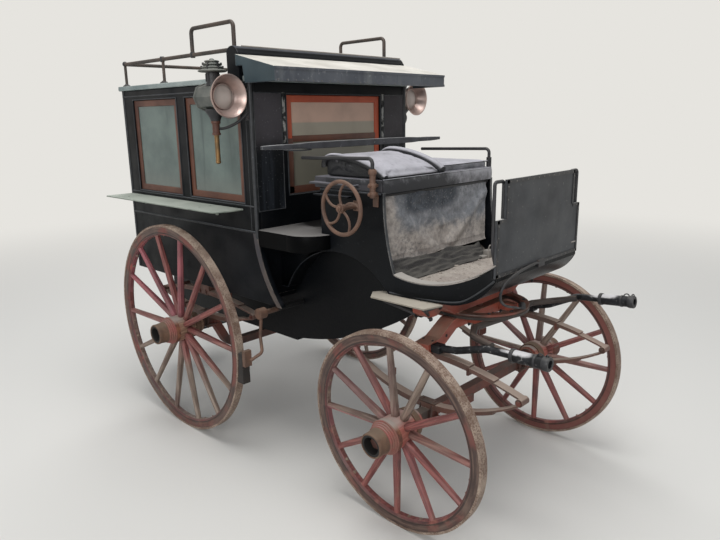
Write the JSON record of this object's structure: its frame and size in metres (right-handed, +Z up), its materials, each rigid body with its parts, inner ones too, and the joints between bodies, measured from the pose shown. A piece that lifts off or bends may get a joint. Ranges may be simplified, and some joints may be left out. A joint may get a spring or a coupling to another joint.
{
  "type": "horse-drawn omnibus carriage",
  "caption": "Four-wheeled horse-drawn carriage with a closed glazed cabin entered from behind, a raised driver's seat in front, turning fore-carriage, spoked wheels, lamps and a roof luggage rail.",
  "frame": {"origin": "on the floor, under the middle of the whole carriage's box", "axes": "+X forward, +Y to the carriage's left, +Z up"},
  "size_m": [2.9986, 1.676, 2.144],
  "materials": {
    "tyre_iron": "rough worn",
    "wheel_wood": "worn paint",
    "hub_wood": "worn paint",
    "black_paint": "aged gloss",
    "roof_canvas": "dusty",
    "visor_cover": "dusty",
    "floor_wood": "dusty",
    "brown_frame": "worn varnish",
    "red_frame": "worn paint",
    "glass": "dusty",
    "bench_wood": "plain",
    "cushion_leather": "dusty",
    "black_iron": "worn",
    "pale_sheet": "dusty",
    "lamp_metal": "worn",
    "dusty_wood": "dusty",
    "apron_leather": "dusty",
    "dash_leather": "dusty",
    "rusty_iron": "rusty",
    "block_wood": "worn",
    "axle_iron": "worn",
    "spring_steel": "worn",
    "red_wood": "worn paint",
    "worn_iron": "worn",
    "brass": "aged"
  },
  "bodies": {
    "coach": {"apron": "apron_leather", "back_rail": "dusty_wood", "bench_boxes": "bench_wood", "bench_cushions": "cushion_leather", "boot_cheek_left": "black_paint", "boot_cheek_right": "black_paint", "boot_deck": "black_paint", "boot_floor": "floor_wood", "boot_inner_sides": "floor_wood", "brake_blocks": "block_wood", "brake_column": "rusty_iron", "brake_gear": "rusty_iron", "brake_hand_wheel": "rusty_iron", "cabin_floor": "floor_wood", "dash_irons": "black_iron", "dashboard": "dash_leather", "driver_cushion": "cushion_leather", "driver_steps": "pale_sheet", "front_wall": "black_paint", "front_window_frame": "red_frame", "lamp_left": "lamp_metal", "lamp_right": "lamp_metal", "luggage_rail": "black_iron", "passenger_cushion": "cushion_leather", "rear_axle": "axle_iron", "rear_mudguards": "pale_sheet", "rear_springs": "spring_steel", "rear_step": "black_iron", "rear_wall": "black_paint", "roof": "roof_canvas", "roof_crest": "black_paint", "seat_board": "dusty_wood", "seat_rails": "black_iron", "side_wall_left": "black_paint", "side_wall_right": "black_paint", "side_window_frames": "brown_frame", "transom": "red_wood", "visor": "visor_cover", "window_glass": "glass"},
    "fore_carriage": {"front_axle": "axle_iron", "front_springs": "spring_steel", "fore_bolster": "red_wood", "lower_wheel_plate": "worn_iron", "shaft_bow": "worn_iron", "shaft_stubs": "worn_iron"},
    "rear_door": {"rear_door": "black_paint", "rear_door_glass": "glass", "door_handle": "brass"},
    "wheel_front_right": {"front_right_tyre": "tyre_iron", "front_right_spoked_rim": "wheel_wood", "front_right_hub": "hub_wood"},
    "wheel_front_left": {"front_left_tyre": "tyre_iron", "front_left_spoked_rim": "wheel_wood", "front_left_hub": "hub_wood"},
    "wheel_rear_right": {"rear_right_tyre": "tyre_iron", "rear_right_spoked_rim": "wheel_wood", "rear_right_hub": "hub_wood"},
    "wheel_rear_left": {"rear_left_tyre": "tyre_iron", "rear_left_spoked_rim": "wheel_wood", "rear_left_hub": "hub_wood"}
  },
  "joints": [
    {"name": "steering", "type": "hinge", "parent": "coach", "child": "fore_carriage", "pos_m": [0.94273, 0, 0.836], "axis": [0, 0, 1], "range_deg": [-24, 24]},
    {"name": "front_right_spin", "type": "hinge", "parent": "fore_carriage", "child": "wheel_front_right", "pos_m": [0.94273, -0.62608, 0.43422], "axis": [0, 0.9982, 0.06], "continuous": true},
    {"name": "front_left_spin", "type": "hinge", "parent": "fore_carriage", "child": "wheel_front_left", "pos_m": [0.94273, 0.62608, 0.43422], "axis": [0, 0.9982, -0.06], "continuous": true},
    {"name": "rear_right_spin", "type": "hinge", "parent": "coach", "child": "wheel_rear_right", "pos_m": [-0.53727, -0.7208, 0.57483], "axis": [0, 0.9997, 0.024], "continuous": true},
    {"name": "rear_left_spin", "type": "hinge", "parent": "coach", "child": "wheel_rear_left", "pos_m": [-0.53727, 0.7208, 0.57483], "axis": [0, 0.9997, -0.024], "continuous": true},
    {"name": "door_swing", "type": "hinge", "parent": "coach", "child": "rear_door", "pos_m": [-1.20827, -0.273, 1.2], "axis": [0, 0, 1], "range_deg": [0, 95]}
  ]
}
